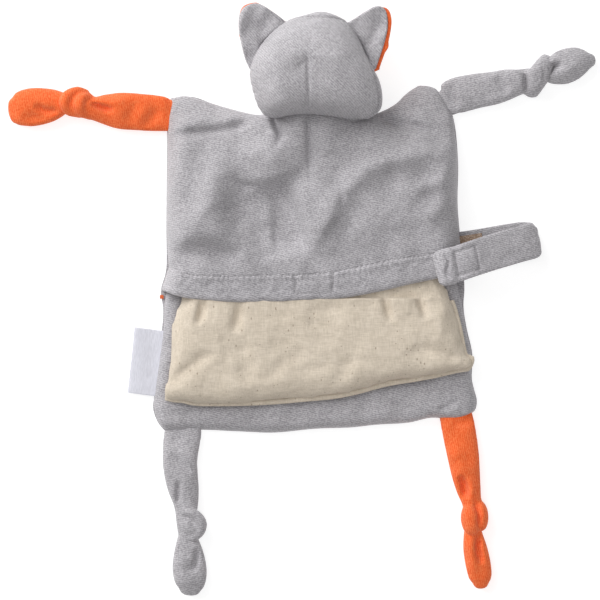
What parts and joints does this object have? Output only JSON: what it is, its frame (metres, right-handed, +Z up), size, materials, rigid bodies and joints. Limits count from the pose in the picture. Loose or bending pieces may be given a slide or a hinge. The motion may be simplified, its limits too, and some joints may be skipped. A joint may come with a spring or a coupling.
{
  "type": "plush hand puppet",
  "caption": "Plush cat hand puppet lying face down, with knotted limbs, a stuffed head, a fold-over strap and a removable cushion half out of its envelope back.",
  "frame": {"origin": "centre of the overall box, on the surface that the puppet lies on", "axes": "+Z up out of the puppet's back, away from the surface; +Y towards the head; +X towards the strap"},
  "size_m": [0.472, 0.477, 0.068],
  "materials": {
    "grey_velour": "short-pile velour",
    "orange_velour": "short-pile velour",
    "calico": "plain-weave undyed cotton",
    "filling": "loose filling",
    "hook_tape": "woven hook-and-loop tape",
    "satin": "satin ribbon",
    "orange_thread": "sewing thread"
  },
  "bodies": {
    "body": {"front_panel": "grey_velour", "lower_back_panel": "grey_velour", "upper_back_panel": "grey_velour", "upper_back_hem": "grey_velour", "loop_patch": "hook_tape", "hook_patch": "hook_tape", "bar_tack": "orange_thread"},
    "neck": {"neck_tube": "grey_velour"},
    "head": {"head_back": "grey_velour", "head_face": "grey_velour", "head_filling": "filling"},
    "ear_left": {"ear_left_back": "grey_velour", "ear_left_lining": "orange_velour"},
    "ear_right": {"ear_right_back": "grey_velour", "ear_right_lining": "orange_velour"},
    "cushion": {"cushion_cover": "calico", "cushion_filling": "filling"},
    "strap_back": {"strap_back_layer": "grey_velour", "strap_loop_patch": "hook_tape"},
    "strap_front": {"strap_front_layer": "grey_velour", "strap_hook_patch": "hook_tape"},
    "label": {"label": "satin"},
    "arm_left": {"arm_left_tube": "orange_velour", "arm_left_knot": "orange_velour"},
    "hand_left": {"arm_left_hand": "orange_velour"},
    "arm_right": {"arm_right_tube": "grey_velour", "arm_right_knot": "grey_velour"},
    "hand_right": {"arm_right_hand": "grey_velour"},
    "leg_left": {"leg_left_tube": "grey_velour", "leg_left_knot": "grey_velour"},
    "foot_left": {"leg_left_foot": "grey_velour"},
    "leg_right": {"leg_right_tube": "orange_velour", "leg_right_knot": "orange_velour"},
    "foot_right": {"leg_right_foot": "orange_velour"}
  },
  "joints": [
    {"name": "head_nod", "type": "hinge", "parent": "body", "child": "neck", "pos_m": [0.014, 0.1452, 0.016], "axis": [1, 0, 0], "range_deg": [-24, 40]},
    {"name": "head_turn", "type": "hinge", "parent": "neck", "child": "head", "pos_m": [0.014, 0.1452, 0.016], "axis": [0, 1, 0], "range_deg": [-30, 30]},
    {"name": "ear_left_fold", "type": "hinge", "parent": "head", "child": "ear_left", "pos_m": [-0.027, 0.204, 0.034], "axis": [-0.5647, -0.8253, 0], "range_deg": [-40, 40], "stiffness_Nm_per_rad": 0.004},
    {"name": "ear_right_fold", "type": "hinge", "parent": "head", "child": "ear_right", "pos_m": [0.0535, 0.203, 0.034], "axis": [-0.4657, 0.8849, 0], "range_deg": [-40, 40], "stiffness_Nm_per_rad": 0.004},
    {"name": "arm_left_fold", "type": "hinge", "parent": "body", "child": "arm_left", "pos_m": [-0.109, 0.147, 0.0045], "axis": [0, 1, 0], "range_deg": [-85, 85]},
    {"name": "arm_right_fold", "type": "hinge", "parent": "body", "child": "arm_right", "pos_m": [0.121, 0.1605, 0.0045], "axis": [0.4961, -0.8682, 0], "range_deg": [-85, 85]},
    {"name": "leg_left_fold", "type": "hinge", "parent": "body", "child": "leg_left", "pos_m": [-0.094, -0.11, 0.0045], "axis": [1, 0, 0], "range_deg": [-85, 85]},
    {"name": "leg_right_fold", "type": "hinge", "parent": "body", "child": "leg_right", "pos_m": [0.125, -0.0986, 0.0045], "axis": [0.9847, 0.1742, 0], "range_deg": [-85, 85]},
    {"name": "hand_left_fold", "type": "hinge", "parent": "arm_left", "child": "hand_left", "pos_m": [-0.196, 0.156, 0.0055], "axis": [0.02, 0.9998, 0], "range_deg": [-45, 45]},
    {"name": "hand_right_fold", "type": "hinge", "parent": "arm_right", "child": "hand_right", "pos_m": [0.21, 0.184, 0.0055], "axis": [0.0867, -0.9962, 0], "range_deg": [-45, 45]},
    {"name": "foot_left_fold", "type": "hinge", "parent": "leg_left", "child": "foot_left", "pos_m": [-0.09, -0.2026, 0.0055], "axis": [-1, 0, 0], "range_deg": [-45, 45]},
    {"name": "foot_right_fold", "type": "hinge", "parent": "leg_right", "child": "foot_right", "pos_m": [0.138, -0.193, 0.0055], "axis": [-0.9929, -0.1191, 0], "range_deg": [-45, 45]},
    {"name": "label_flip", "type": "hinge", "parent": "body", "child": "label", "pos_m": [-0.113, -0.026, 0.0012], "axis": [0.1071, 0.9943, 0], "range_deg": [-80, 80]},
    {"name": "strap_swing", "type": "hinge", "parent": "body", "child": "strap_back", "pos_m": [0.13381, 0.03952, 0.0013], "axis": [-0.1564, 0.9877, 0], "range_deg": [0, 80]},
    {"name": "strap_open", "type": "hinge", "parent": "strap_back", "child": "strap_front", "pos_m": [0.1926, 0.049, 0.0088], "axis": [-0.2924, 0.9563, 0], "range_deg": [0, 150]},
    {"name": "cushion_slide", "type": "slide", "parent": "body", "child": "cushion", "axis": [0, -1, 0], "range_m": [0, 0.081]}
  ]
}
